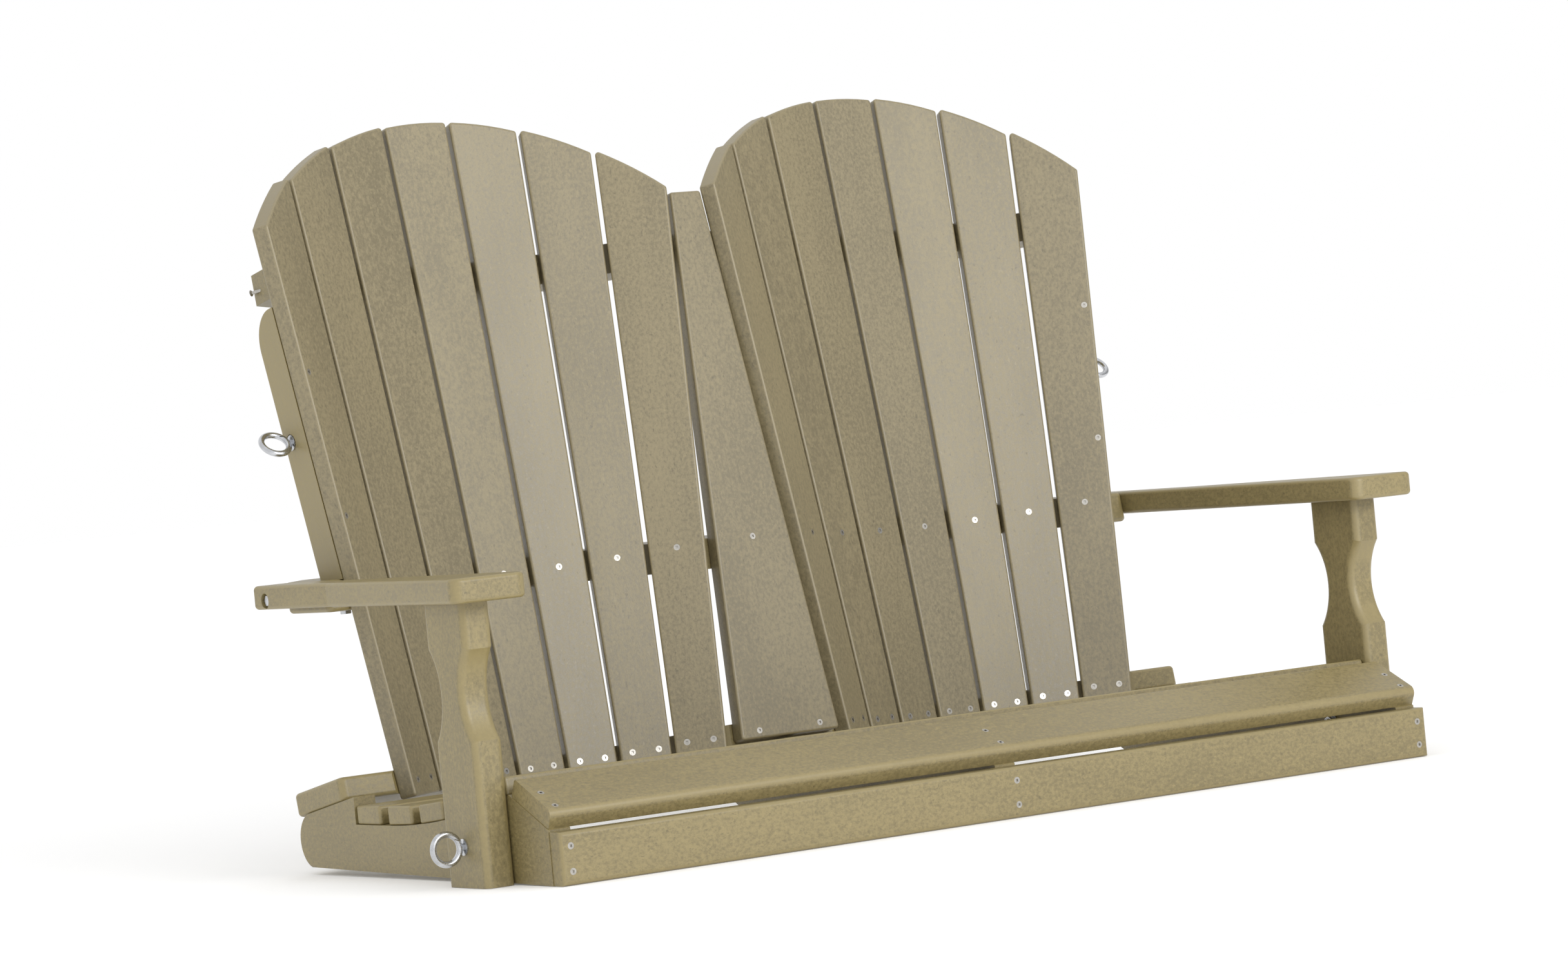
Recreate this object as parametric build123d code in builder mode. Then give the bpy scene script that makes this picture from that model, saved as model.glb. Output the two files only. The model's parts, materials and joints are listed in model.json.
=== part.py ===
from build123d import *
import os
from math import asin, cos, degrees, hypot, radians, sin, sqrt, tan

# Two-seat hanging porch swing bench with a double fan back, built of plastic lumber.
# Millimetres. X runs along the bench, +Y from the front edge to the back, +Z up.
# The origin is at the middle of the footprint, on the level that the bench stands on.

# ---- stock sizes ----
PLANK = 22.2                # slats and front apron
BOARD = 28.6                # arms, seat rails, lower back rail
BEAM = 38.1                 # posts, top and middle back rails, uprights
PLANK_ROUND = 3.0           # routed edges of the slats
PLANK_CORNER = 4.0          # eased corners of the slats
BOARD_ROUND = 5.0           # routed edges of the arms and rails
POST_ROUND = 9.0            # routed edges of the posts, and corners of the straight back rails

# ---- overall layout ----
HALF_LENGTH = 624.0         # seat frame, from the middle to the outer face of an end rail
DEPTH = 742.3               # front of the apron to the rearmost point of the top rail
FRONT = -DEPTH / 2          # Y of the apron's front face

# ---- seat frame ----
APRON_HEIGHT = 60.0
SEAT_BED = 62.0             # height of the seat rails under the rear seat slats
BED_FLAT_Y = FRONT + 390.0  # the bed is level behind this line and curves up in front of it
BED_STEP_Y = FRONT + 468.0  # the rails step up here to carry the back
BED_RADIUS = 1075.0
RAIL_TAIL_Y = FRONT + 611.0
NOSE_TILT = 25.7            # slope of the front slat, in degrees
NOSE_WIDTH = 82.0
NOSE_Y, NOSE_Z = FRONT + 23.6, 63.2     # lower front corner of the front slat
SEAT_SLAT_WIDTH = 57.0
SEAT_SLAT_PITCH = 76.0
SEAT_SLATS = 5
SLAT_END = HALF_LENGTH - 1.0
NOSE_ROUND = 9.0
TAIL_ROUND, TAIL_MIDDLE = 23.0, 47.0    # rounded rear ends of the seat rails
TAIL_RISE = 9.0             # the undersides of the seat rails climb this much to the rear
APRON_ROUND = 5.0

# ---- back ----
RECLINE = 10.36             # lean of the middle slat of each back
OUTWARD_LEAN = 0.0098       # the backs also part from each other by this, per millimetre up
BACK_CENTRE = 313.9         # middle of a back at the lower screws, from the middle of the bench
BACK_Y, BACK_Z = FRONT + 554.2, 93.3    # face of the middle slat at the lower screws
FAN_ANGLE = 10.8            # from one slat to the next
LOWER_RADIUS = 365.0        # curve of the slat faces at the lower screws
SPREAD = 0.145              # growth of that radius per millimetre up the back
LOWER_HALF_WIDTH = 32.1     # half the width of a slat at the lower screws
TAPER = 0.0137              # growth of the half width per millimetre up the slat
SLATS = 7
ARCH_RADIUS, ARCH_CENTRE = 379.0, 440.0  # rounded top of a back
SLAT_FOOT_Z = 84.5          # level of the lower ends of the slats
LAND = -58.5                # front edge of the back rails, ahead of the middle slat face
LOWER_RAIL = (-BOARD / 2, BOARD / 2)
TOP_RAIL = (603.0, 603.0 + BEAM)
RAIL_BACK = 86.0            # rear edge of the lower and middle rails
TOP_RAIL_BAND = 50.0        # width of the bowed top rail
TOP_RAIL_HALF = 585.5
LOWER_RAIL_CORNER, MIDDLE_RAIL_CORNER = 60.0, 42.0     # where the clipped rear corners start
HOLLOW_PLAY = 0.1           # between the slats and the hollow curves of the rails
WEDGE_FOOT, WEDGE_TOP = -10.0, 690.0
WEDGE_FOOT_WIDTH, WEDGE_TOP_WIDTH = 145.0, 45.0
UPRIGHT_DEPTH = 53.0
UPRIGHT_HEAD, UPRIGHT_HEAD_ROUND = TOP_RAIL[0] - 19.0, 46.0
LINK_BACK, LINK_WIDTH = -2.0, 140.0      # piece of the top rail between the two bows

# ---- arms and posts ----
POST_Y, POST_WIDTH = FRONT + 102.0, 88.9
ARM_Z = 321.0
MIDDLE_RAIL_Z = ARM_Z + BOARD - BEAM    # this rail is level, flush with the tops of the arms
MIDDLE_RAIL_REACH = (190.0, 300.0)      # heights up the back that the level rail lies between
NOTCH_TOP, NOTCH_BOTTOM, NOTCH_DEPTH = 268.0, 165.0, 19.0
ARM_INNER = HALF_LENGTH - 28.0
ARM_REAR_OUTER = ARM_INNER + 48.0
ARM_FRONT_OUTER = HALF_LENGTH + 69.0
ARM_FRONT_Y, ARM_KINK_Y, ARM_REAR_Y = FRONT + 61.0, FRONT + 450.0, FRONT + 635.0
ARM_CORNER = 14.0

# ---- hardware ----
EYE_WIRE = 3.75             # radius of the ring's wire
EYE_RING = 17.0             # radius to the middle of the wire
EYE_STANDOFF = 23.0         # middle of the ring from the wood
EYE_GAP, EYE_GAP_ANGLE = 1.0, 28.0      # slit where the bent wire closes
EYE_SHANK = 4.0             # radius
THREAD_SPARE = 3.0          # of the shank beyond its nut
EYE_HOLE = 4.08
FRONT_EYE_Y, FRONT_EYE_Z = FRONT + 146.5, 46.2
REAR_EYE_UP, REAR_EYE_BACK = 425.0, -31.0   # along the back and behind the slat face
REAR_EYE_LEAN = 47.0        # the rear rings lean back by this angle
SCREW = 2.0                 # radius of the shank
SCREW_HEAD = 4.0
SCREW_HEAD_DROP = 0.2       # heads lie this far below the wood
SCREW_HOLE = 2.1
SINK = 4.2                  # radius of the countersink at the surface
SINK_ANGLE = 82.0
SCREW_LENGTH = 45.0
TOP_SCREW_LENGTH = 64.0
TOP_SCREW_BITE = 11.0       # of the top screws in the slats
SCREW_POINT = 3.0
DRIVE_WIDTH, DRIVE_DEPTH = 2.9, 1.8
UPRIGHT_SCREW_LENGTH = 32.0
BOLT = 4.0                  # radius of the arm and upright bolts
BOLT_HOLE = 4.1
BOLT_ACROSS = 13.0          # hex heads and nuts, across the flats
BOLT_HEAD_HEIGHT = 5.3
NUT_HEIGHT = 6.5
WASHER_RADIUS, WASHER_THICK = 9.5, 1.6
PLAY = 0.1                  # clearance of the washers that turn with an eye bolt
SPOT_RADIUS, SPOT_DEPTH = 10.5, 1.0     # flat seats cut in the leaning uprights
FRONT_GRIP = BOARD + BEAM   # wood between the washers of an eye bolt
REAR_GRIP = BEAM - 2 * SPOT_DEPTH

os.makedirs("parts", exist_ok=True)

UP = Vector(0, sin(radians(RECLINE)), cos(radians(RECLINE)))
BEHIND = Vector(0, cos(radians(RECLINE)), -sin(radians(RECLINE)))


def write(part, name):
    """Label one finished piece and write its STEP file."""
    part.label = name
    export_step(part, "parts/" + name + ".step")


# ---- geometry of the back ----
def back_plane(side):
    """Frame of a back: x along the bench, y behind the slats, z up the recline."""
    origin = (side * BACK_CENTRE, BACK_Y, BACK_Z)
    return Plane(origin=origin, x_dir=(1, 0, 0), z_dir=UP)


def rail_plane(span):
    """Underside of a back rail, with the frame's x and y."""
    return back_plane(0).offset(span[0])


def fan_radius(height):
    return LOWER_RADIUS + SPREAD * height


def half_width(height):
    return LOWER_HALF_WIDTH + TAPER * height


def fan_shift(side, height):
    """Sideways lean of a back at a height."""
    return side * OUTWARD_LEAN * height


def fan_point(side, number, height):
    """Middle of slat number's face at a height, in the frame of its back."""
    angle = radians((number - 4) * FAN_ANGLE)
    radius = fan_radius(height)
    return Vector(radius * sin(angle) + fan_shift(side, height), -radius * (1 - cos(angle)), height)


def slat_plane(side, number):
    """Front face of a slat: x across it, y up it, z towards the sitter."""
    frame = back_plane(side)
    angle = radians((number - 4) * FAN_ANGLE)
    low = frame.from_local_coords(fan_point(side, number, 0))
    high = frame.from_local_coords(fan_point(side, number, 100))
    across = frame.from_local_coords(Vector(cos(angle), -sin(angle), 0)) - frame.origin
    along = (high - low).normalized()
    outward = across.cross(along).normalized()
    return Plane(origin=low, x_dir=along.cross(outward), z_dir=outward)


def on_slat(side, number, across, height, behind=0.0):
    """Place on a slat, facing the sitter."""
    return slat_plane(side, number).location * Location((across, height, -behind))


def behind_slat(side, number, across, height, behind):
    """The same place seen from behind, facing away from the sitter."""
    return on_slat(side, number, across, height, behind) * Location((0, 0, 0), (0, 180, 0))


def arch_height(side, number, across_sign):
    """Height up the slat where the rounded top of the back meets one of its sides or its middle."""
    angle = radians((number - 4) * FAN_ANGLE)
    height = ARCH_CENTRE + ARCH_RADIUS
    for _ in range(30):
        offset = across_sign * half_width(height) * cos(angle)
        reach = fan_radius(height) * sin(angle) + fan_shift(side, height) + offset
        height = ARCH_CENTRE + sqrt(ARCH_RADIUS ** 2 - reach ** 2)
    stretch = (fan_point(side, number, 1) - fan_point(side, number, 0)).length
    return height * stretch


def slat_foot(side, number):
    """Distance from the lower screws down to the level where the slats end."""
    plane = slat_plane(side, number)
    return (SLAT_FOOT_Z - plane.origin.Z) / plane.y_dir.Z


def arc_radius(height):
    """Curve cut in a back rail so that the rear edges of the slats just touch it."""
    return hypot(fan_radius(height) + PLANK, half_width(height)) + HOLLOW_PLAY


# ---- places of the screws and bolts ----
# A place has its z axis pointing out of the wood, towards the head of the fastener.
LOWER_SCREW_OFFSET = 16.5
MIDDLE_SCREW_HEIGHT = 243.0
TOP_SCREW_HEIGHT = 622.0
TOP_SCREW_STEP = 14.0       # the end slats carry their top screw towards the middle of the back
UPRIGHT_SCREW_HEIGHTS = (326.0, 504.0)
UPRIGHT_SCREW_INSET = 9.5   # from the edge of the end slat
WEDGE_SCREW_OFFSET = 45.0
SEAT_SCREW_OFFSET = 15.0
NOSE_SCREWS = (13.4, 45.0)  # along the width of the front slat
APRON_SCREWS = (15.4, 43.9)
RAIL_LINES = (-HALF_LENGTH + BOARD / 2, 0.0, HALF_LENGTH - BOARD / 2)
LOWER_RAIL_SCREWS = (-30.0, 25.0)
ARM_SCREWS_Y = (POST_Y + 23.0, POST_Y + 66.0)
POST_SCREWS = ((POST_Y + 18.0, 25.0), (POST_Y + 18.0, 70.0), (POST_Y + 74.0, 20.0), (POST_Y + 74.0, 65.0))
ARM_BOLT_Y, ARM_BOLT_Z = FRONT + 606.0, 331.5
ARM_BOLT_BITE = 55.0        # into the end of the middle rail
ARM_BOLT_RECESS, ARM_BOLT_SINK = 9.2, 8.0
UPRIGHT_BOLT_X, UPRIGHT_BOLT_Y = BACK_CENTRE + 235.0, BACK_Y + 28.0
UPRIGHT_BOLT_BITE = 60.0
HOLE_SPARE = 2.0            # blind holes are this much deeper than their screws
SIDES = ((-1, "left"), (1, "right"))
END_SLAT = {-1: 1, 1: SLATS}


def middle_screws():
    return [on_slat(side, number, 0, MIDDLE_SCREW_HEIGHT)
            for side, _ in SIDES for number in range(1, SLATS + 1)]


def lower_screws():
    return [on_slat(side, number, across, 0)
            for side, _ in SIDES for number in range(1, SLATS + 1)
            for across in (-LOWER_SCREW_OFFSET, LOWER_SCREW_OFFSET)]


def top_screw_across(number):
    return {1: TOP_SCREW_STEP, SLATS: -TOP_SCREW_STEP}.get(number, 0.0)


def top_screw_depth(number):
    """From a slat's face back to the rear edge of the bowed top rail, along the screw."""
    rear = arc_radius(TOP_RAIL[1]) + TOP_RAIL_BAND
    shift = fan_radius(TOP_RAIL[1]) - fan_radius(TOP_SCREW_HEIGHT)
    angle = radians((number - 4) * FAN_ANGLE)
    sideways = shift * sin(angle) + top_screw_across(number)
    return sqrt(rear ** 2 - sideways ** 2) - fan_radius(TOP_SCREW_HEIGHT) - shift * cos(angle)


def top_screws():
    """These go in from behind, so the top of the back shows no heads in front."""
    return [behind_slat(side, number, top_screw_across(number), TOP_SCREW_HEIGHT, top_screw_depth(number))
            for side, _ in SIDES for number in range(1, SLATS + 1)]


def upright_screws(side):
    return [on_slat(side, END_SLAT[side], side * (half_width(height) - UPRIGHT_SCREW_INSET), height)
            for height in UPRIGHT_SCREW_HEIGHTS]


def wedge_plane():
    frame = back_plane(0)
    origin = frame.from_local_coords(Vector(0, LAND - PLANK, 0))
    return Plane(origin=origin, x_dir=(1, 0, 0), z_dir=-BEHIND)


def wedge_screws(height, offsets):
    return [wedge_plane().location * Location((across, height, 0)) for across in offsets]


def wedge_top_screw():
    """From behind, through the middle link of the top rail."""
    frame = back_plane(0)
    origin = frame.from_local_coords(Vector(0, LINK_BACK, TOP_SCREW_HEIGHT))
    return Plane(origin=origin, x_dir=(-1, 0, 0), z_dir=BEHIND).location


def bed_height(y):
    """Top of the seat rails under the seat slats."""
    ahead = max(0.0, BED_FLAT_Y - y)
    return SEAT_BED + BED_RADIUS - sqrt(BED_RADIUS ** 2 - ahead ** 2)


def seat_slat_plane(number):
    """Underside of a seat slat, x along it and z up; slat 1 is at the rear."""
    y = BED_STEP_Y - 30.0 - (number - 1) * SEAT_SLAT_PITCH
    tilt = -asin(max(0.0, BED_FLAT_Y - y) / BED_RADIUS)
    bridge = 0.0 if tilt == 0 else BED_RADIUS - sqrt(BED_RADIUS ** 2 - (SEAT_SLAT_WIDTH / 2) ** 2)
    level = Plane(origin=(0, y, bed_height(y)), x_dir=(1, 0, 0), z_dir=(0, -sin(tilt), cos(tilt)))
    return level.offset(bridge)


def seat_screws(number):
    top = seat_slat_plane(number).offset(PLANK)
    return [top.location * Location((x, across, 0))
            for x in RAIL_LINES for across in (-SEAT_SCREW_OFFSET, SEAT_SCREW_OFFSET)]


def nose_plane():
    """Underside of the front slat, x along it and y up its width."""
    tilt = radians(NOSE_TILT)
    return Plane(origin=(0, NOSE_Y, NOSE_Z), x_dir=(1, 0, 0), z_dir=(0, -sin(tilt), cos(tilt)))


def nose_screws():
    top = nose_plane().offset(PLANK)
    return [top.location * Location((x, across, 0)) for x in RAIL_LINES for across in NOSE_SCREWS]


def apron_screws():
    return [Plane(origin=(x, FRONT, z), x_dir=(1, 0, 0), z_dir=(0, -1, 0)).location
            for x in RAIL_LINES for z in APRON_SCREWS]


def lower_rail_screws():
    top = rail_plane((LOWER_RAIL[1], 0))
    return [top.location * Location((x, behind, 0)) for x in RAIL_LINES for behind in LOWER_RAIL_SCREWS]


def post_screws(side):
    """From inside the seat rail into the post."""
    return [Plane(origin=(side * (HALF_LENGTH - BOARD), y, z), x_dir=(0, 1, 0), z_dir=(-side, 0, 0)).location
            for y, z in POST_SCREWS]


def arm_screws(side):
    x = side * (HALF_LENGTH + BEAM / 2)
    return [Location((x, y, ARM_Z + BOARD)) for y in ARM_SCREWS_Y]


def arm_bolt(side, x):
    return Plane(origin=(side * x, ARM_BOLT_Y, ARM_BOLT_Z), x_dir=(0, 1, 0), z_dir=(side, 0, 0)).location


def upright_bolt(side):
    """From under the middle rail up into the foot of an upright."""
    origin = (side * UPRIGHT_BOLT_X, UPRIGHT_BOLT_Y, MIDDLE_RAIL_Z)
    return Plane(origin=origin, x_dir=(1, 0, 0), z_dir=(0, 0, -1)).location


def sink_holes(places):
    """Countersunk clearance holes right through a board."""
    with Locations(*places):
        CounterSinkHole(SCREW_HOLE, SINK, counter_sink_angle=SINK_ANGLE)


def pilot_holes(places, length):
    """Holes for the screws that start in the board in front."""
    with Locations(*places):
        Hole(SCREW_HOLE, depth=length + HOLE_SPARE)


# ---- back slats ----
def back_slat(side, number):
    foot = slat_foot(side, number)
    left, middle, right = (arch_height(side, number, sign) for sign in (-1, 0, 1))
    with BuildPart() as slat:
        with BuildSketch(slat_plane(side, number)) as outline:
            with BuildLine():
                bottom = Line((-half_width(foot), foot), (half_width(foot), foot))
                rise = Line(bottom @ 1, (half_width(right), right))
                arch = ThreePointArc(rise @ 1, (0, middle), (-half_width(left), left))
                Line(arch @ 1, bottom @ 0)
            make_face()
            fillet(outline.vertices(), PLANK_CORNER)
        extrude(amount=-PLANK)
        fillet(slat.faces().sort_by(SortBy.AREA)[-2:].edges(), PLANK_ROUND)
        holes = [on_slat(side, number, 0, MIDDLE_SCREW_HEIGHT)]
        holes += [on_slat(side, number, sign * LOWER_SCREW_OFFSET, 0) for sign in (-1, 1)]
        if number == END_SLAT[side]:
            holes += upright_screws(side)
        sink_holes(holes)
        with Locations(behind_slat(side, number, top_screw_across(number), TOP_SCREW_HEIGHT, PLANK)):
            Hole(SCREW_HOLE, depth=TOP_SCREW_BITE + HOLE_SPARE)
    return slat.part


for side, side_name in SIDES:
    for number in range(1, SLATS + 1):
        write(back_slat(side, number), side_name + "_back_slat_" + str(number))

with BuildPart() as center_wedge_slat:
    with BuildSketch(wedge_plane()) as wedge_outline:
        with BuildLine():
            Polyline((-WEDGE_FOOT_WIDTH / 2, WEDGE_FOOT), (WEDGE_FOOT_WIDTH / 2, WEDGE_FOOT),
                     (WEDGE_TOP_WIDTH / 2, WEDGE_TOP), (-WEDGE_TOP_WIDTH / 2, WEDGE_TOP), close=True)
        make_face()
        fillet(wedge_outline.vertices(), PLANK_CORNER)
    extrude(amount=-PLANK)
    fillet(center_wedge_slat.faces().sort_by(SortBy.AREA)[-2:].edges(), PLANK_ROUND)
    sink_holes(wedge_screws(0, (-WEDGE_SCREW_OFFSET, WEDGE_SCREW_OFFSET)))
    sink_holes(wedge_screws(MIDDLE_SCREW_HEIGHT, (0,)))
    with Locations(wedge_top_screw()):
        Hole(SCREW_HOLE, depth=LINK_BACK - LAND + TOP_SCREW_BITE + HOLE_SPARE)
write(center_wedge_slat.part, "center_wedge_slat")


# ---- back rails ----
def cut_fan_curves(span):
    """The two hollow curves that the slats of the backs lie in, opening out like the fans."""
    for side, _ in SIDES:
        sections = []
        for height in span:
            with BuildSketch(rail_plane((height, 0))) as section:
                with Locations((side * BACK_CENTRE + fan_shift(side, height), -fan_radius(height))):
                    Circle(arc_radius(height))
            sections.append(section.sketch.face())
        loft(sections, ruled=True, mode=Mode.SUBTRACT)


def straight_rail(span, half, corner):
    """Rail with a straight rear edge, two hollow curves in front and clipped rear corners."""
    clip = RAIL_BACK - corner
    with BuildPart() as rail:
        with BuildSketch(rail_plane(span)) as outline:
            with BuildLine():
                Polyline((-half, LAND), (half, LAND), (half, corner), (half - clip, RAIL_BACK),
                         (clip - half, RAIL_BACK), (-half, corner), close=True)
            make_face()
            fillet(outline.vertices(), POST_ROUND)
        extrude(amount=span[1] - span[0])
        cut_fan_curves(span)
    return rail.part


def round_rear_edges(rail):
    fillet(rail.edges().filter_by(Axis.X).sort_by(Axis.Y)[-2:], BOARD_ROUND)


with BuildPart() as lower_rail:
    add(straight_rail(LOWER_RAIL, HALF_LENGTH, LOWER_RAIL_CORNER))
    round_rear_edges(lower_rail)
    pilot_holes(lower_screws() + wedge_screws(0, (-WEDGE_SCREW_OFFSET, WEDGE_SCREW_OFFSET)), SCREW_LENGTH)
    sink_holes(lower_rail_screws())
write(lower_rail.part, "lower_back_rail")

with BuildPart() as middle_rail:
    add(straight_rail(MIDDLE_RAIL_REACH, ARM_INNER, MIDDLE_RAIL_CORNER))
    with Locations((0, 0, MIDDLE_RAIL_Z + BEAM / 2)):
        Box(4 * HALF_LENGTH, 4 * DEPTH, BEAM, mode=Mode.INTERSECT)
    round_rear_edges(middle_rail)
    pilot_holes(middle_screws() + wedge_screws(MIDDLE_SCREW_HEIGHT, (0,)), SCREW_LENGTH)
    with Locations(*[arm_bolt(side, ARM_INNER) for side, _ in SIDES]):
        Hole(BOLT_HOLE, depth=ARM_BOLT_BITE + HOLE_SPARE)
    with Locations(*[upright_bolt(side) for side, _ in SIDES]):
        Hole(BOLT_HOLE, depth=BEAM)
write(middle_rail.part, "middle_back_rail")

with BuildPart() as top_rail:
    with BuildSketch(rail_plane(TOP_RAIL)):
        with Locations((0, (LAND + LINK_BACK) / 2)):
            Rectangle(LINK_WIDTH, LINK_BACK - LAND)
        bow_centres = [(side * BACK_CENTRE + fan_shift(side, TOP_RAIL[1]), -fan_radius(TOP_RAIL[1]))
                       for side, _ in SIDES]
        with Locations(*bow_centres):
            Circle(arc_radius(TOP_RAIL[1]) + TOP_RAIL_BAND)
        with Locations((0, LAND)):
            Rectangle(2 * TOP_RAIL_HALF, DEPTH, align=(Align.CENTER, Align.MIN), mode=Mode.INTERSECT)
    extrude(amount=BEAM)
    cut_fan_curves(TOP_RAIL)
    sink_holes(top_screws() + [wedge_top_screw()])
write(top_rail.part, "top_back_rail")


# ---- uprights ----
def upright_corners(side, height):
    """Cross-section of an upright at a height: it lies against the back of the end slat."""
    frame = back_plane(side)
    plane = slat_plane(side, END_SLAT[side])
    corners = []
    for sign in (side, -side):
        low, high = (frame.to_local_coords(plane.from_local_coords(
            Vector(sign * half_width(along), along, -PLANK - 0.1))) for along in (0.0, 100.0))
        corners.append(low + (high - low) * ((height - low.Z) / (high.Z - low.Z)))
    outer, inner = corners
    slope = (inner.Y - outer.Y) / (inner.X - outer.X)
    inside = outer.X - side * BEAM
    rear = outer.Y + UPRIGHT_DEPTH
    front = outer.Y + slope * (inside - outer.X)
    return ((outer.X, outer.Y), (inside, front), (inside, rear), (outer.X, rear))


def upright_face(height):
    """Distance of the outer face of an upright from the middle of the bench."""
    return BACK_CENTRE + upright_corners(1, height)[0][0]


def rear_eye_place(side):
    """Flat seat of a rear eye bolt, z pointing outwards."""
    out = upright_face(REAR_EYE_UP) - SPOT_DEPTH - BACK_CENTRE
    origin = back_plane(side).from_local_coords(Vector(side * out, REAR_EYE_BACK, REAR_EYE_UP))
    return Plane(origin=origin, x_dir=(0, sin(radians(REAR_EYE_LEAN)), cos(radians(REAR_EYE_LEAN))),
                 z_dir=(side, 0, 0))


def front_eye_place(side):
    return Plane(origin=(side * (HALF_LENGTH + BEAM), FRONT_EYE_Y, FRONT_EYE_Z),
                 x_dir=(0, 0, 1), z_dir=(side, 0, 0))


def upright(side):
    with BuildPart() as post:
        for height in (MIDDLE_RAIL_REACH[0], UPRIGHT_HEAD):
            with BuildSketch(back_plane(side).offset(height)):
                with BuildLine():
                    Polyline(*upright_corners(side, height), close=True)
                make_face()
        loft(ruled=True)
        with Locations((0, 0, MIDDLE_RAIL_Z + BEAM)):
            Box(4 * HALF_LENGTH, 4 * DEPTH, BACK_CENTRE, align=(Align.CENTER, Align.CENTER, Align.MAX),
                mode=Mode.SUBTRACT)
        fillet(post.edges().filter_by(Axis.X).sort_by(Axis.Y)[-1], UPRIGHT_HEAD_ROUND)
        pilot_holes(upright_screws(side), UPRIGHT_SCREW_LENGTH)
        with Locations(upright_bolt(side)):
            Hole(BOLT_HOLE, depth=BEAM + UPRIGHT_BOLT_BITE + HOLE_SPARE)
        seat = rear_eye_place(side)
        with Locations(seat.offset(SPOT_DEPTH).location):
            CounterBoreHole(EYE_HOLE, SPOT_RADIUS, SPOT_DEPTH)
        with Locations(seat.offset(-REAR_GRIP).location * Location((0, 0, -5.0))):
            Cylinder(SPOT_RADIUS, 5.0, align=(Align.CENTER, Align.CENTER, Align.MIN), mode=Mode.SUBTRACT)
    return post.part


for side, side_name in SIDES:
    write(upright(side), side_name + "_back_upright")


# ---- seat frame ----
def lip_height(y):
    """Sloping seat that the front slat lies on."""
    return NOSE_Z + (y - NOSE_Y) * tan(radians(NOSE_TILT))


def back_seat_height(y):
    """Sloping top of the seat rails behind the step, which carries the lower back rail."""
    start = rail_plane(LOWER_RAIL).origin
    return start.Z - (y - start.Y) * tan(radians(RECLINE))


def lip_end():
    """Where the sloping front seat runs into the curved bed."""
    y = NOSE_Y + NOSE_WIDTH
    for _ in range(40):
        y = NOSE_Y + (bed_height(y) - NOSE_Z) / tan(radians(NOSE_TILT))
    return y


def seat_rail_body(x):
    front_y, ridge_y = FRONT + PLANK, lip_end()
    half_way = (ridge_y + BED_FLAT_Y) / 2
    slope_end = RAIL_TAIL_Y - TAIL_ROUND
    with BuildPart() as rail:
        with BuildSketch(Plane.YZ.offset(x - BOARD / 2)):
            with BuildLine():
                bottom = Line((front_y, 0), (slope_end, TAIL_RISE))
                tail = ThreePointArc(bottom @ 1, (RAIL_TAIL_Y, TAIL_MIDDLE),
                                     (slope_end, back_seat_height(slope_end)))
                top = Line(tail @ 1, (BED_STEP_Y, back_seat_height(BED_STEP_Y)))
                bed = Polyline(top @ 1, (BED_STEP_Y, SEAT_BED), (BED_FLAT_Y, SEAT_BED))
                middle, ridge = (half_way, bed_height(half_way)), (ridge_y, bed_height(ridge_y))
                curve = ThreePointArc(bed @ 1, middle, ridge)
                Polyline(curve @ 1, (front_y, lip_height(front_y)), bottom @ 0)
            make_face()
        extrude(amount=BOARD)
        pilot_holes(nose_screws() + apron_screws() + lower_rail_screws(), SCREW_LENGTH)
        for number in range(1, SEAT_SLATS + 1):
            pilot_holes(seat_screws(number), SCREW_LENGTH)
    return rail.part


def side_seat_rail(side):
    with BuildPart() as rail:
        add(seat_rail_body(side * RAIL_LINES[2]))
        sink_holes(post_screws(side))
        with Locations(front_eye_place(side)):
            Hole(EYE_HOLE, depth=2 * FRONT_GRIP)
    return rail.part


write(seat_rail_body(0), "center_seat_rail")
for side, side_name in SIDES:
    write(side_seat_rail(side), side_name + "_seat_rail")

for number in range(1, SEAT_SLATS + 1):
    with BuildPart() as seat_slat:
        with BuildSketch(seat_slat_plane(number)) as outline:
            Rectangle(2 * SLAT_END, SEAT_SLAT_WIDTH)
            fillet(outline.vertices(), PLANK_CORNER)
        extrude(amount=PLANK)
        fillet(seat_slat.faces().sort_by(SortBy.AREA)[-2:].edges(), PLANK_ROUND)
        sink_holes(seat_screws(number))
    write(seat_slat.part, "seat_slat_" + str(number))

with BuildPart() as front_seat_slat:
    with BuildSketch(nose_plane()):
        Rectangle(2 * SLAT_END, NOSE_WIDTH, align=(Align.CENTER, Align.MIN))
    extrude(amount=PLANK)
    long_edges = front_seat_slat.edges().filter_by(Axis.X)
    fillet(long_edges.sort_by(Axis.Y)[0], NOSE_ROUND)
    fillet(front_seat_slat.edges().filter_by(Axis.X).sort_by(Axis.Y)[-2:], PLANK_ROUND)
    sink_holes(nose_screws())
write(front_seat_slat.part, "front_seat_slat")

with BuildPart() as apron:
    with BuildSketch(Plane.XY):
        with Locations((0, FRONT)):
            Rectangle(2 * SLAT_END, PLANK, align=(Align.CENTER, Align.MIN))
    extrude(amount=APRON_HEIGHT)
    fillet(apron.faces().sort_by(Axis.Y)[0].edges(), APRON_ROUND)
    sink_holes(apron_screws())
write(apron.part, "apron")


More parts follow.
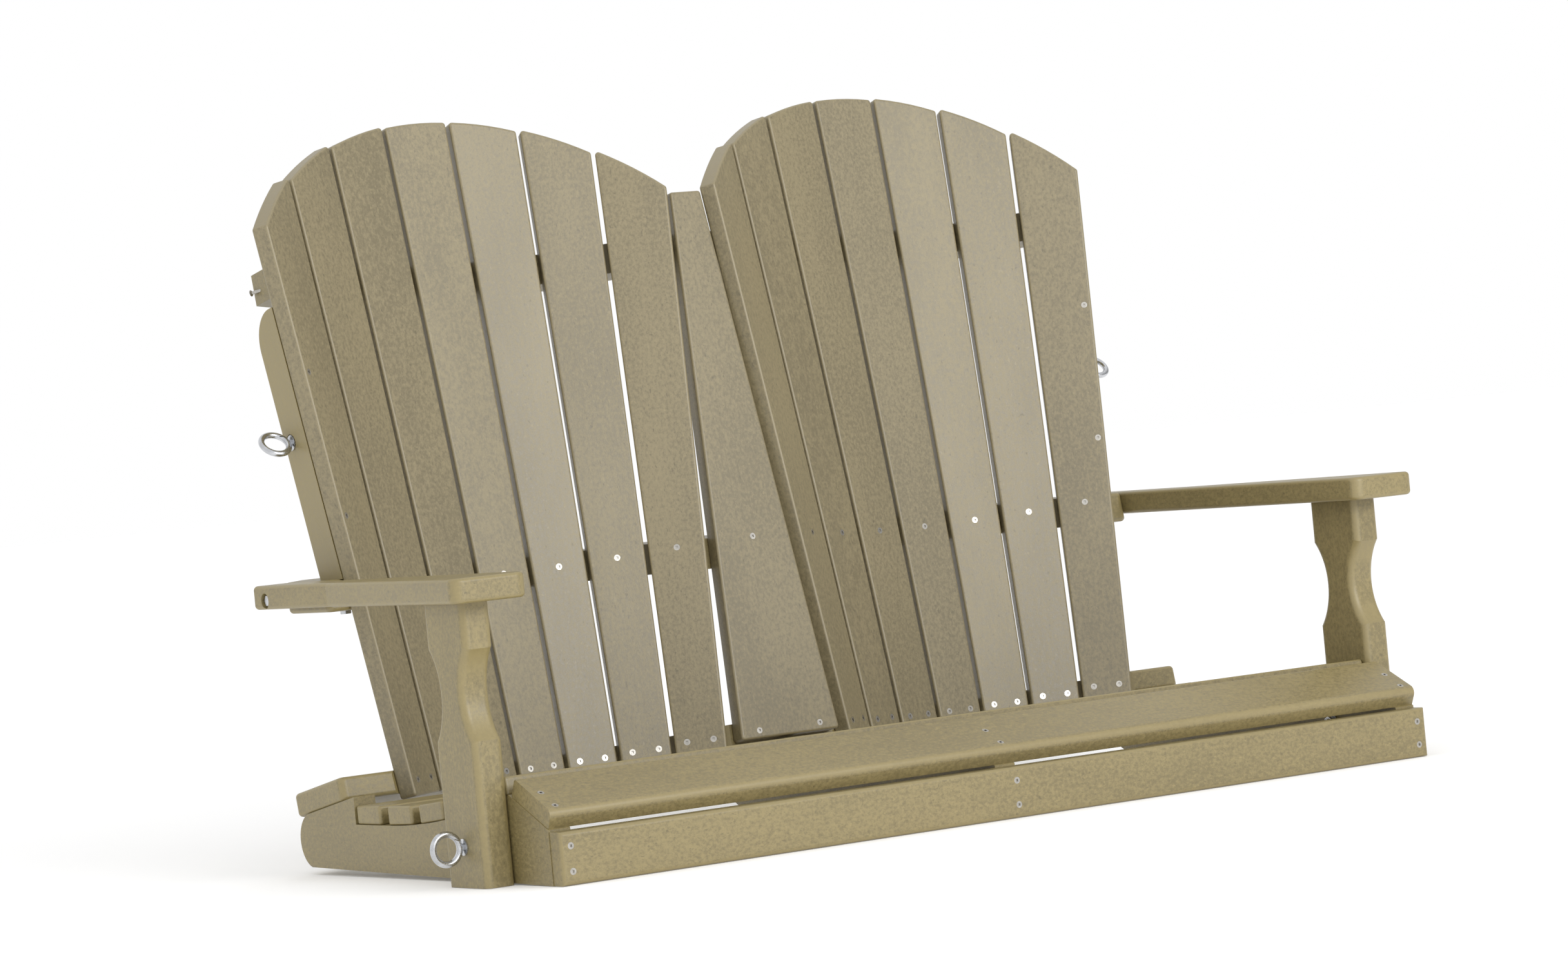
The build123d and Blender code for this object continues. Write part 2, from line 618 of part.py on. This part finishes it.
# ---- posts and arms ----
def arm_post(side):
    near, far = POST_Y, POST_Y + POST_WIDTH
    waist = (NOTCH_TOP + NOTCH_BOTTOM) / 2
    outer = side * (HALF_LENGTH + BEAM)
    start = min(outer, side * HALF_LENGTH)
    with BuildPart() as post:
        with BuildSketch(Plane.YZ.offset(start)):
            with BuildLine():
                front = Line((near, 0), (near, NOTCH_BOTTOM))
                front_notch = ThreePointArc(front @ 1, (near + NOTCH_DEPTH, waist), (near, NOTCH_TOP))
                head = Polyline(front_notch @ 1, (near, ARM_Z), (far, ARM_Z), (far, NOTCH_TOP))
                rear_notch = ThreePointArc(head @ 1, (far - NOTCH_DEPTH, waist), (far, NOTCH_BOTTOM))
                Polyline(rear_notch @ 1, (far, 0), front @ 0)
            make_face()
        extrude(amount=BEAM)
        around = post.edges().filter_by(Axis.X, reverse=True).filter_by(Axis.Y, reverse=True)
        fillet(around, POST_ROUND)
        pilot_holes(post_screws(side) + arm_screws(side), SCREW_LENGTH)
        with Locations(front_eye_place(side)):
            Hole(EYE_HOLE, depth=2 * FRONT_GRIP)
    return post.part


def arm(side):
    with BuildPart() as board:
        with BuildSketch(Plane.XY.offset(ARM_Z)) as outline:
            with BuildLine():
                Polyline((side * ARM_INNER, ARM_FRONT_Y), (side * ARM_FRONT_OUTER, ARM_FRONT_Y),
                         (side * ARM_REAR_OUTER, ARM_KINK_Y), (side * ARM_REAR_OUTER, ARM_REAR_Y),
                         (side * ARM_INNER, ARM_REAR_Y), close=True)
            make_face()
            fillet(outline.vertices().group_by(Axis.Y)[0], ARM_CORNER)
            fillet(outline.vertices().sort_by(Axis.Y)[-2:], PLANK_CORNER)
        extrude(amount=BOARD)
        fillet(board.faces().sort_by(SortBy.AREA)[-2:].edges(), BOARD_ROUND)
        sink_holes(arm_screws(side))
        with Locations(arm_bolt(side, ARM_REAR_OUTER)):
            CounterBoreHole(BOLT_HOLE, ARM_BOLT_RECESS, ARM_BOLT_SINK)
    return board.part


for side, side_name in SIDES:
    write(arm_post(side), side_name + "_arm_post")
    write(arm(side), side_name + "_arm")


# ---- hardware ----
def screw(length):
    """Countersunk wood screw, pointing down from z = 0, with a square drive."""
    top = -SCREW_HEAD_DROP
    throat = top - (SCREW_HEAD - SCREW) / tan(radians(SINK_ANGLE / 2))
    with BuildPart() as body:
        with BuildSketch(Plane.XZ):
            with BuildLine():
                Polyline((0, top), (SCREW_HEAD, top), (SCREW, throat), (SCREW, SCREW_POINT - length),
                         (SCREW / 5, -length), (0, -length), close=True)
            make_face()
        revolve(axis=Axis.Z)
        with BuildSketch(Plane.XY.offset(top)):
            Rectangle(DRIVE_WIDTH, DRIVE_WIDTH)
        extrude(amount=-DRIVE_DEPTH, mode=Mode.SUBTRACT)
    return body.part


def hex_bolt(length):
    """Lag bolt: a hex head standing on z = 0 and a pointed shank below."""
    with BuildPart() as body:
        with BuildSketch(Plane.XY):
            RegularPolygon(BOLT_ACROSS / 2, 6, major_radius=False)
        extrude(amount=BOLT_HEAD_HEIGHT)
        chamfer(body.faces().sort_by(Axis.Z)[-1].edges(), 0.6)
        with Locations((0, 0, -length / 2)):
            Cylinder(BOLT, length)
        chamfer(body.faces().sort_by(Axis.Z)[0].edges(), BOLT - 1.5)
    return body.part


def group(model, places):
    """One copy of a fastener at each place, as separate solids of one node."""
    return Compound(children=[model.moved(place) for place in places])


def eye_bolt(place, reach):
    """Bent-wire eye with its shank along z; z = 0 is the wood, and x lies in the ring."""
    centre = EYE_STANDOFF
    gap = radians(EYE_GAP_ANGLE)
    with BuildPart() as eye:
        with BuildSketch(Plane.XY.offset(centre)):
            with Locations((EYE_RING, 0)):
                Circle(EYE_WIRE)
        revolve(axis=Axis((0, 0, centre), (0, 1, 0)))
        slit = (EYE_RING * sin(gap), 0, centre - EYE_RING * cos(gap))
        with Locations(Location(slit, (0, EYE_GAP_ANGLE, 0))):
            Box(EYE_GAP, 3 * EYE_WIRE, 3 * EYE_WIRE, mode=Mode.SUBTRACT)
        with BuildSketch(Plane.XY.offset(centre - EYE_RING)):
            Circle(EYE_SHANK)
        extrude(amount=-(centre - EYE_RING + reach))
        chamfer(eye.faces().sort_by(Axis.Z)[0].edges(), 0.8)
    return eye.part.moved(place.location)


def washers(place, grip):
    with BuildPart() as pair:
        with BuildSketch(Plane.XY.offset(PLAY), Plane.XY.offset(-grip - PLAY - WASHER_THICK)):
            Circle(WASHER_RADIUS)
            Circle(EYE_HOLE, mode=Mode.SUBTRACT)
        extrude(amount=WASHER_THICK)
    return pair.part.moved(place.location)


def nut(place, grip):
    with BuildPart() as hexagon:
        with BuildSketch(Plane.XY.offset(-grip - PLAY - WASHER_THICK - PLAY / 2)):
            RegularPolygon(BOLT_ACROSS / 2, 6, major_radius=False)
            Circle(EYE_SHANK, mode=Mode.SUBTRACT)
        extrude(amount=-NUT_HEIGHT)
        chamfer(hexagon.faces().filter_by(Axis.Z).edges().filter_by(GeomType.LINE), 0.5)
    return hexagon.part.moved(place.location)


for side, side_name in SIDES:
    eyes = (("front", front_eye_place(side), FRONT_GRIP), ("rear", rear_eye_place(side), REAR_GRIP))
    for end, place, grip in eyes:
        name = side_name + "_" + end + "_eye"
        write(eye_bolt(place, grip + WASHER_THICK + NUT_HEIGHT + THREAD_SPARE), name + "_bolt")
        write(washers(place, grip), name + "_washers")
        write(nut(place, grip), name + "_nut")

wood_screw = screw(SCREW_LENGTH)
seat_places = [place for number in range(1, SEAT_SLATS + 1) for place in seat_screws(number)]
wedge_foot = wedge_screws(0, (-WEDGE_SCREW_OFFSET, WEDGE_SCREW_OFFSET))
write(group(wood_screw, lower_screws() + wedge_foot), "lower_back_screws")
write(group(wood_screw, middle_screws() + wedge_screws(MIDDLE_SCREW_HEIGHT, (0,))), "middle_back_screws")
write(group(screw(TOP_SCREW_LENGTH), top_screws() + [wedge_top_screw()]), "top_back_screws")
write(group(screw(UPRIGHT_SCREW_LENGTH), upright_screws(-1) + upright_screws(1)), "upright_screws")
write(group(wood_screw, seat_places), "seat_slat_screws")
write(group(wood_screw, nose_screws()), "front_slat_screws")
write(group(wood_screw, apron_screws()), "apron_screws")
write(group(wood_screw, lower_rail_screws()), "lower_rail_screws")
write(group(wood_screw, post_screws(-1) + post_screws(1)), "post_screws")
write(group(wood_screw, arm_screws(-1) + arm_screws(1)), "arm_screws")

arm_bolt_places = [arm_bolt(side, ARM_REAR_OUTER - ARM_BOLT_SINK) for side, _ in SIDES]
arm_bolt_length = ARM_REAR_OUTER - ARM_BOLT_SINK - ARM_INNER + ARM_BOLT_BITE
write(group(hex_bolt(arm_bolt_length), arm_bolt_places), "arm_bolts")
upright_bolt_places = [upright_bolt(side) for side, _ in SIDES]
write(group(hex_bolt(BEAM + UPRIGHT_BOLT_BITE), upright_bolt_places), "upright_bolts")
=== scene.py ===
import json
import math
import random

import bpy
import numpy as np
from mathutils import Matrix, Vector

# A two-seat hanging swing bench of plastic lumber: materials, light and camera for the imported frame.
# Lengths are in metres, angles in degrees and colours in linear red, green and blue.

# ---- camera ----
CAMERA_PLACE = (-3.5459, -5.3715, 0.5076)
CAMERA_YAW = 33.11                          # to the right of straight ahead
CAMERA_PITCH = -0.91
CAMERA_ROLL = -5.46
CAMERA_LENS = 120.48                        # millimetres, as is the sensor
CAMERA_SENSOR = 36.0
CAMERA_REACH = 200.0                        # nothing beyond this distance is seen

# ---- plastic lumber ----
FRAME_TINT = (0.226, 0.179, 0.074)          # arms, posts, rails, seat and apron
# The back slats' tint is greyer partly in their own colour and partly as painted sheen, the whitish light
# they catch from the front.
SLAT_GREY_AND_SHEEN_TINT = (0.218, 0.180, 0.098)           # slats of the back, a little greyer
SLAT_WORDS = ("back_slat", "wedge")         # nodes with these words in their name take the slat tint
TONE_SPREAD = 0.035                         # how much one board's tone differs from the next
SHIFT_SPREAD = 50.0                         # each board shows its own part of the noise
DRAW_SEED = 7

# Noise patterns: scale along, across and through a board, then detail and roughness of the noise.
CLOUDS = ((3.0, 10.0, 10.0), 3.0, 0.55)
STREAKS = ((30.0, 260.0, 260.0), 4.0, 0.6)
SPECKLE = ((190.0, 240.0, 240.0), 4.0, 0.75)
FLECKS = ((170.0, 260.0, 260.0), 1.0, 0.4)
BRUSHING = ((420.0, 1100.0, 1100.0), 2.0, 0.6)
MIDDLE = (0.3, 0.7)                         # most values of a noise lie between these

CLOUD_SHARE, STREAK_SHARE, SPECKLE_SHARE = 0.24, 0.08, 0.68     # of the mottled tone
MOTTLE_RANGE = (0.38, 0.62)                 # tones that come out darkest and palest
MOTTLE = 0.21                               # how far the mottling goes either side of the tint

# Flecks: the noise values where they fade in, how far they cover, their tone as a share of the tint.
DARK_FLECKS = ((0.68, 0.78), 0.5, 0.45)
PALE_FLECKS = ((0.32, 0.24), 0.4, 1.5)

# Eased edges are made paler: partly the paler surface left by routing, partly a painted highlight of the
# sheen they catch.
ROUTED_AND_SHEEN_RANGE = (0.995, 0.90)                  # cosines of the turn away from the nearest flat face
ROUTED_AND_SHEEN_COVER = 0.7
ROUTED_AND_SHEEN_TONE = 1.22                            # of eased edges, as a share of the tint

LUMBER_SPECULAR = 0.85
LUMBER_ROUGHNESS = (0.38, 0.50)
STREAK_RELIEF, BRUSH_RELIEF = 0.22, 0.30
LUMBER_RELIEF_DEPTH = 0.0003

# ---- hardware ----
# Colour, roughness and the scale of the fine scratches.
ZINC = ((0.60, 0.61, 0.63), 0.22, 900.0)
STAINLESS = ((0.50, 0.48, 0.44), 0.32, 1500.0)
SCRATCH_DETAIL = (4.0, 0.6)                 # detail and roughness of the noise
DULL_DETAIL = (2.0, 0.55)
DULL_SIZE = 8.0                             # dull patches against scratches
DULL_TONE = 0.82                            # as a share of the colour
SCRATCH_ROUGHNESS = (0.75, 1.35)            # smoothest and roughest, as shares of the roughness
SCRATCH_RELIEF, SCRATCH_DEPTH = 0.12, 0.0001

# ---- stage and light ----
FLOOR_SIZE = 60.0
FLOOR_HEIGHT = -0.0005                      # just under the part's underside
FLOOR_COLOR = (0.97, 0.97, 0.97, 1.0)
FLOOR_LIFT = 0.11                           # strength of the floor's own glow
WHITE = (1.0, 1.0, 1.0, 1.0)
SHADE_SIDE = (0.966, -0.259, 0.0)           # the white studio is darker on this side
SHADE_RANGE = (0.5, 0.95)                   # it darkens between these cosines of the angle to that side
STUDIO_STRENGTH, SHADE_STRENGTH = 1.0, 0.45
SHEEN_PLACE = (0.5, -4.7, 2.0)
SHEEN_TARGET = (0.0, 0.1, 0.5)
SHEEN_SIZE = (3.2, 1.5)
SHEEN_POWER = 105.0                         # watts

# Numbers of the colour sockets of a Mix node, which has others of the same name.
MIX_FIRST, MIX_SECOND, MIX_RESULT = 6, 7, 2

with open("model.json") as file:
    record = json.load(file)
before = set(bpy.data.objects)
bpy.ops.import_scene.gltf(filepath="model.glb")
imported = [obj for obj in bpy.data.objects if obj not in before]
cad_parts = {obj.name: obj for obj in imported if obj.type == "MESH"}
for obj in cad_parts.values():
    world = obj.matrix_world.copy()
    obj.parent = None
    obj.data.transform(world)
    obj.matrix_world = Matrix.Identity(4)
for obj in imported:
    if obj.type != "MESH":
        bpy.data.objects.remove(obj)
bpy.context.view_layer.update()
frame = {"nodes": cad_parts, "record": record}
draw = random.Random(DRAW_SEED)


# ---- node helpers ----
class Graph:
    """Adds nodes to the node tree of a material or of the world."""

    def __init__(self, tree):
        self.tree = tree

    def add(self, kind, **settings):
        node = self.tree.nodes.new(kind)
        for key, value in settings.items():
            setattr(node, key, value)
        return node

    def join(self, source, target):
        self.tree.links.new(source, target)

    def dot(self, vector, axis):
        node = self.add("ShaderNodeVectorMath", operation="DOT_PRODUCT")
        self.join(vector, node.inputs[0])
        node.inputs[1].default_value = axis
        return node.outputs["Value"]

    def math(self, operation, *values):
        """One Math node; each value is a number or a socket."""
        node = self.add("ShaderNodeMath", operation=operation)
        for socket, value in zip(node.inputs, values):
            if isinstance(value, float):
                socket.default_value = value
            else:
                self.join(value, socket)
        return node.outputs[0]

    def span(self, value, low, high, to_low=0.0, to_high=1.0):
        """Smooth step from to_low at low to to_high at high."""
        node = self.add("ShaderNodeMapRange", interpolation_type="SMOOTHSTEP")
        self.join(value, node.inputs["Value"])
        for key, number in (("From Min", low), ("From Max", high), ("To Min", to_low), ("To Max", to_high)):
            node.inputs[key].default_value = number
        return node.outputs["Result"]

    def stretch(self, vector, scale, shift):
        node = self.add("ShaderNodeMapping")
        self.join(vector, node.inputs["Vector"])
        node.inputs["Scale"].default_value = scale
        node.inputs["Location"].default_value = shift
        return node.outputs["Vector"]

    def noise(self, vector, scale, detail, roughness):
        node = self.add("ShaderNodeTexNoise")
        self.join(vector, node.inputs["Vector"])
        node.inputs["Scale"].default_value = scale
        node.inputs["Detail"].default_value = detail
        node.inputs["Roughness"].default_value = roughness
        return node.outputs["Fac"]

    def mix(self, factor, first, second):
        """Mix of two colours; each is a tuple or a socket."""
        node = self.add("ShaderNodeMix", data_type="RGBA")
        self.join(factor, node.inputs["Factor"])
        for index, value in ((MIX_FIRST, first), (MIX_SECOND, second)):
            if isinstance(value, tuple):
                node.inputs[index].default_value = (*value, 1.0)
            else:
                self.join(value, node.inputs[index])
        return node.outputs[MIX_RESULT]

    def bump(self, height, strength, distance, normal=None):
        node = self.add("ShaderNodeBump")
        node.inputs["Strength"].default_value = strength
        node.inputs["Distance"].default_value = distance
        self.join(height, node.inputs["Height"])
        if normal is not None:
            self.join(normal, node.inputs["Normal"])
        return node.outputs["Normal"]


def new_material(name):
    """A material, the graph of its nodes and its surface shader."""
    material = bpy.data.materials.new(name)
    material.use_nodes = True
    graph = Graph(material.node_tree)
    graph.tree.nodes.clear()
    output = graph.add("ShaderNodeOutputMaterial")
    surface = graph.add("ShaderNodeBsdfPrincipled")
    graph.join(surface.outputs["BSDF"], output.inputs["Surface"])
    return material, graph, surface


def shade(color, factor):
    return tuple(channel * factor for channel in color)


# ---- plastic lumber ----
def board_axes(board):
    """Length, width and thickness directions of a board, from the areas of its faces."""
    tensor = np.zeros((3, 3))
    for polygon in board.data.polygons:
        normal = np.array(polygon.normal)
        tensor += polygon.area * np.outer(normal, normal)
    _, vectors = np.linalg.eigh(tensor)
    return [Vector(vectors[:, column]) for column in range(3)]


def grain_place(graph, axes):
    """Position along, across and through a board."""
    place = graph.add("ShaderNodeTexCoord").outputs["Object"]
    along = graph.add("ShaderNodeCombineXYZ")
    for socket, axis in zip(along.inputs, axes):
        graph.join(graph.dot(place, axis), socket)
    return along.outputs["Vector"]


def grain_noise(graph, grain, pattern, shift):
    scale, detail, roughness = pattern
    return graph.noise(graph.stretch(grain, scale, shift), 1.0, detail, roughness)


def routed_and_sheen_amount(graph, axes):
    """High where the surface turns between the flat faces of a board: there the eased edges get a painted
    highlight of sheen, partly their paler routed surface.
    """
    normal = graph.add("ShaderNodeNewGeometry").outputs["True Normal"]
    turned = graph.add("ShaderNodeVectorTransform", vector_type="NORMAL",
                       convert_from="WORLD", convert_to="OBJECT")
    graph.join(normal, turned.inputs["Vector"])
    flatness = 0.0
    for axis in axes:
        facing = graph.math("ABSOLUTE", graph.dot(turned.outputs["Vector"], axis))
        flatness = graph.math("MAXIMUM", flatness, facing)
    return graph.span(flatness, *ROUTED_AND_SHEEN_RANGE, 0.0, ROUTED_AND_SHEEN_COVER)


def lumber(board, tint):
    """Brushed, speckled plastic lumber with its grain along one board."""
    axes = board_axes(board)
    tint = shade(tint, 1.0 + draw.uniform(-TONE_SPREAD, TONE_SPREAD))
    shift = tuple(draw.uniform(-SHIFT_SPREAD, SHIFT_SPREAD) for _ in range(3))
    material, graph, surface = new_material("lumber_" + board.name)
    grain = grain_place(graph, axes)
    clouds = grain_noise(graph, grain, CLOUDS, shift)
    streaks = grain_noise(graph, grain, STREAKS, shift)
    speckle = grain_noise(graph, grain, SPECKLE, shift)
    brushing = grain_noise(graph, grain, BRUSHING, shift)
    flecks = grain_noise(graph, grain, FLECKS, shift[::-1])

    tone = 0.0
    for noise, share in ((clouds, CLOUD_SHARE), (streaks, STREAK_SHARE), (speckle, SPECKLE_SHARE)):
        tone = graph.math("ADD", tone, graph.math("MULTIPLY", noise, share))
    mottle = graph.span(tone, *MOTTLE_RANGE)
    color = graph.mix(mottle, shade(tint, 1.0 - MOTTLE), shade(tint, 1.0 + MOTTLE))
    for fade, cover, share in (DARK_FLECKS, PALE_FLECKS):
        amount = graph.math("MULTIPLY", graph.span(flecks, *fade), cover)
        color = graph.mix(amount, color, shade(tint, share))
    # Painted highlight on the eased edges, partly their paler routed surface.
    color = graph.mix(routed_and_sheen_amount(graph, axes), color, shade(tint, ROUTED_AND_SHEEN_TONE))

    graph.join(color, surface.inputs["Base Color"])
    surface.inputs["Specular IOR Level"].default_value = LUMBER_SPECULAR
    graph.join(graph.span(speckle, *MIDDLE, *LUMBER_ROUGHNESS), surface.inputs["Roughness"])
    relief = graph.bump(streaks, STREAK_RELIEF, LUMBER_RELIEF_DEPTH)
    relief = graph.bump(brushing, BRUSH_RELIEF, LUMBER_RELIEF_DEPTH, relief)
    graph.join(relief, surface.inputs["Normal"])
    return material


# ---- hardware ----
def plated(name, color, rough, scratch_scale):
    """Bright metal with fine scratches and dull patches."""
    material, graph, surface = new_material(name)
    place = graph.add("ShaderNodeTexCoord").outputs["Object"]
    scratches = graph.noise(place, scratch_scale, *SCRATCH_DETAIL)
    dull = graph.noise(place, scratch_scale / DULL_SIZE, *DULL_DETAIL)
    patches = graph.mix(graph.span(dull, *MIDDLE), shade(color, DULL_TONE), color)
    smoothest, roughest = (rough * share for share in SCRATCH_ROUGHNESS)
    graph.join(patches, surface.inputs["Base Color"])
    surface.inputs["Metallic"].default_value = 1.0
    graph.join(graph.span(scratches, *MIDDLE, smoothest, roughest), surface.inputs["Roughness"])
    graph.join(graph.bump(scratches, SCRATCH_RELIEF, SCRATCH_DEPTH), surface.inputs["Normal"])
    return material


# ---- materials on the pieces ----
slots = {entry["node"]: entry["material_slot"] for entry in frame["record"]["subparts"]}
metals = {"zinc": plated("bright_zinc", *ZINC), "stainless": plated("stainless", *STAINLESS)}


def finish_of(node, piece):
    if slots[node] in metals:
        return metals[slots[node]]
    is_slat = any(word in node for word in SLAT_WORDS)
    # The slats' greyer tint is partly their own colour, partly painted sheen.
    return lumber(piece, SLAT_GREY_AND_SHEEN_TINT if is_slat else FRAME_TINT)


for node, piece in sorted(frame["nodes"].items()):
    finish = finish_of(node, piece)
    for slot in piece.material_slots:
        slot.material = finish


# ---- stage, light and camera ----
def add_object(name, data):
    thing = bpy.data.objects.new(name, data)
    bpy.context.scene.collection.objects.link(thing)
    return thing


def studio_floor():
    """White paper, lifted a little so that it runs into the white surroundings."""
    material, _, surface = new_material("studio_floor")
    surface.inputs["Base Color"].default_value = FLOOR_COLOR
    surface.inputs["Roughness"].default_value = 1.0
    surface.inputs["Emission Color"].default_value = WHITE
    surface.inputs["Emission Strength"].default_value = FLOOR_LIFT
    return material


def flat_sheet(name, size, height):
    mesh = bpy.data.meshes.new(name)
    half = size / 2
    corners = [(-half, -half, height), (half, -half, height), (half, half, height), (-half, half, height)]
    mesh.from_pydata(corners, [], [(0, 1, 2, 3)])
    return add_object(name, mesh)


def white_studio():
    """White light from all round, weaker on the shaded side."""
    world = bpy.data.worlds.new("studio")
    world.use_nodes = True
    bpy.context.scene.world = world
    graph = Graph(world.node_tree)
    background = graph.tree.nodes["Background"]
    background.inputs["Color"].default_value = WHITE
    direction = graph.add("ShaderNodeTexCoord").outputs["Generated"]
    toward_shade = graph.dot(direction, SHADE_SIDE)
    strength = graph.span(toward_shade, *SHADE_RANGE, STUDIO_STRENGTH, SHADE_STRENGTH)
    graph.join(strength, background.inputs["Strength"])


def soft_light(name, place, target, size, power):
    lamp = bpy.data.lights.new(name, "AREA")
    lamp.shape = "RECTANGLE"
    lamp.size, lamp.size_y = size
    lamp.energy = power
    holder = add_object(name, lamp)
    holder.location = place
    direction = Vector(target) - Vector(place)
    holder.rotation_euler = direction.to_track_quat("-Z", "Y").to_euler()


def place_camera():
    yaw, pitch, roll = (math.radians(angle) for angle in (CAMERA_YAW, CAMERA_PITCH, CAMERA_ROLL))
    forward = Vector((math.sin(yaw) * math.cos(pitch), math.cos(yaw) * math.cos(pitch), math.sin(pitch)))
    level = Vector((math.cos(yaw), -math.sin(yaw), 0.0))
    above = level.cross(forward)
    right = math.cos(roll) * level + math.sin(roll) * above
    up = -math.sin(roll) * level + math.cos(roll) * above
    lens = bpy.data.cameras.new("camera")
    lens.sensor_width = CAMERA_SENSOR
    lens.lens = CAMERA_LENS
    lens.clip_end = CAMERA_REACH
    camera = add_object("camera", lens)
    turn = Matrix((right, up, -forward)).transposed().to_4x4()
    camera.matrix_world = Matrix.Translation(CAMERA_PLACE) @ turn
    bpy.context.scene.camera = camera


floor = flat_sheet("floor", FLOOR_SIZE, FLOOR_HEIGHT)
floor.data.materials.append(studio_floor())
white_studio()
soft_light("sheen", SHEEN_PLACE, SHEEN_TARGET, SHEEN_SIZE, SHEEN_POWER)
place_camera()
bpy.context.scene.view_settings.view_transform = "Standard"
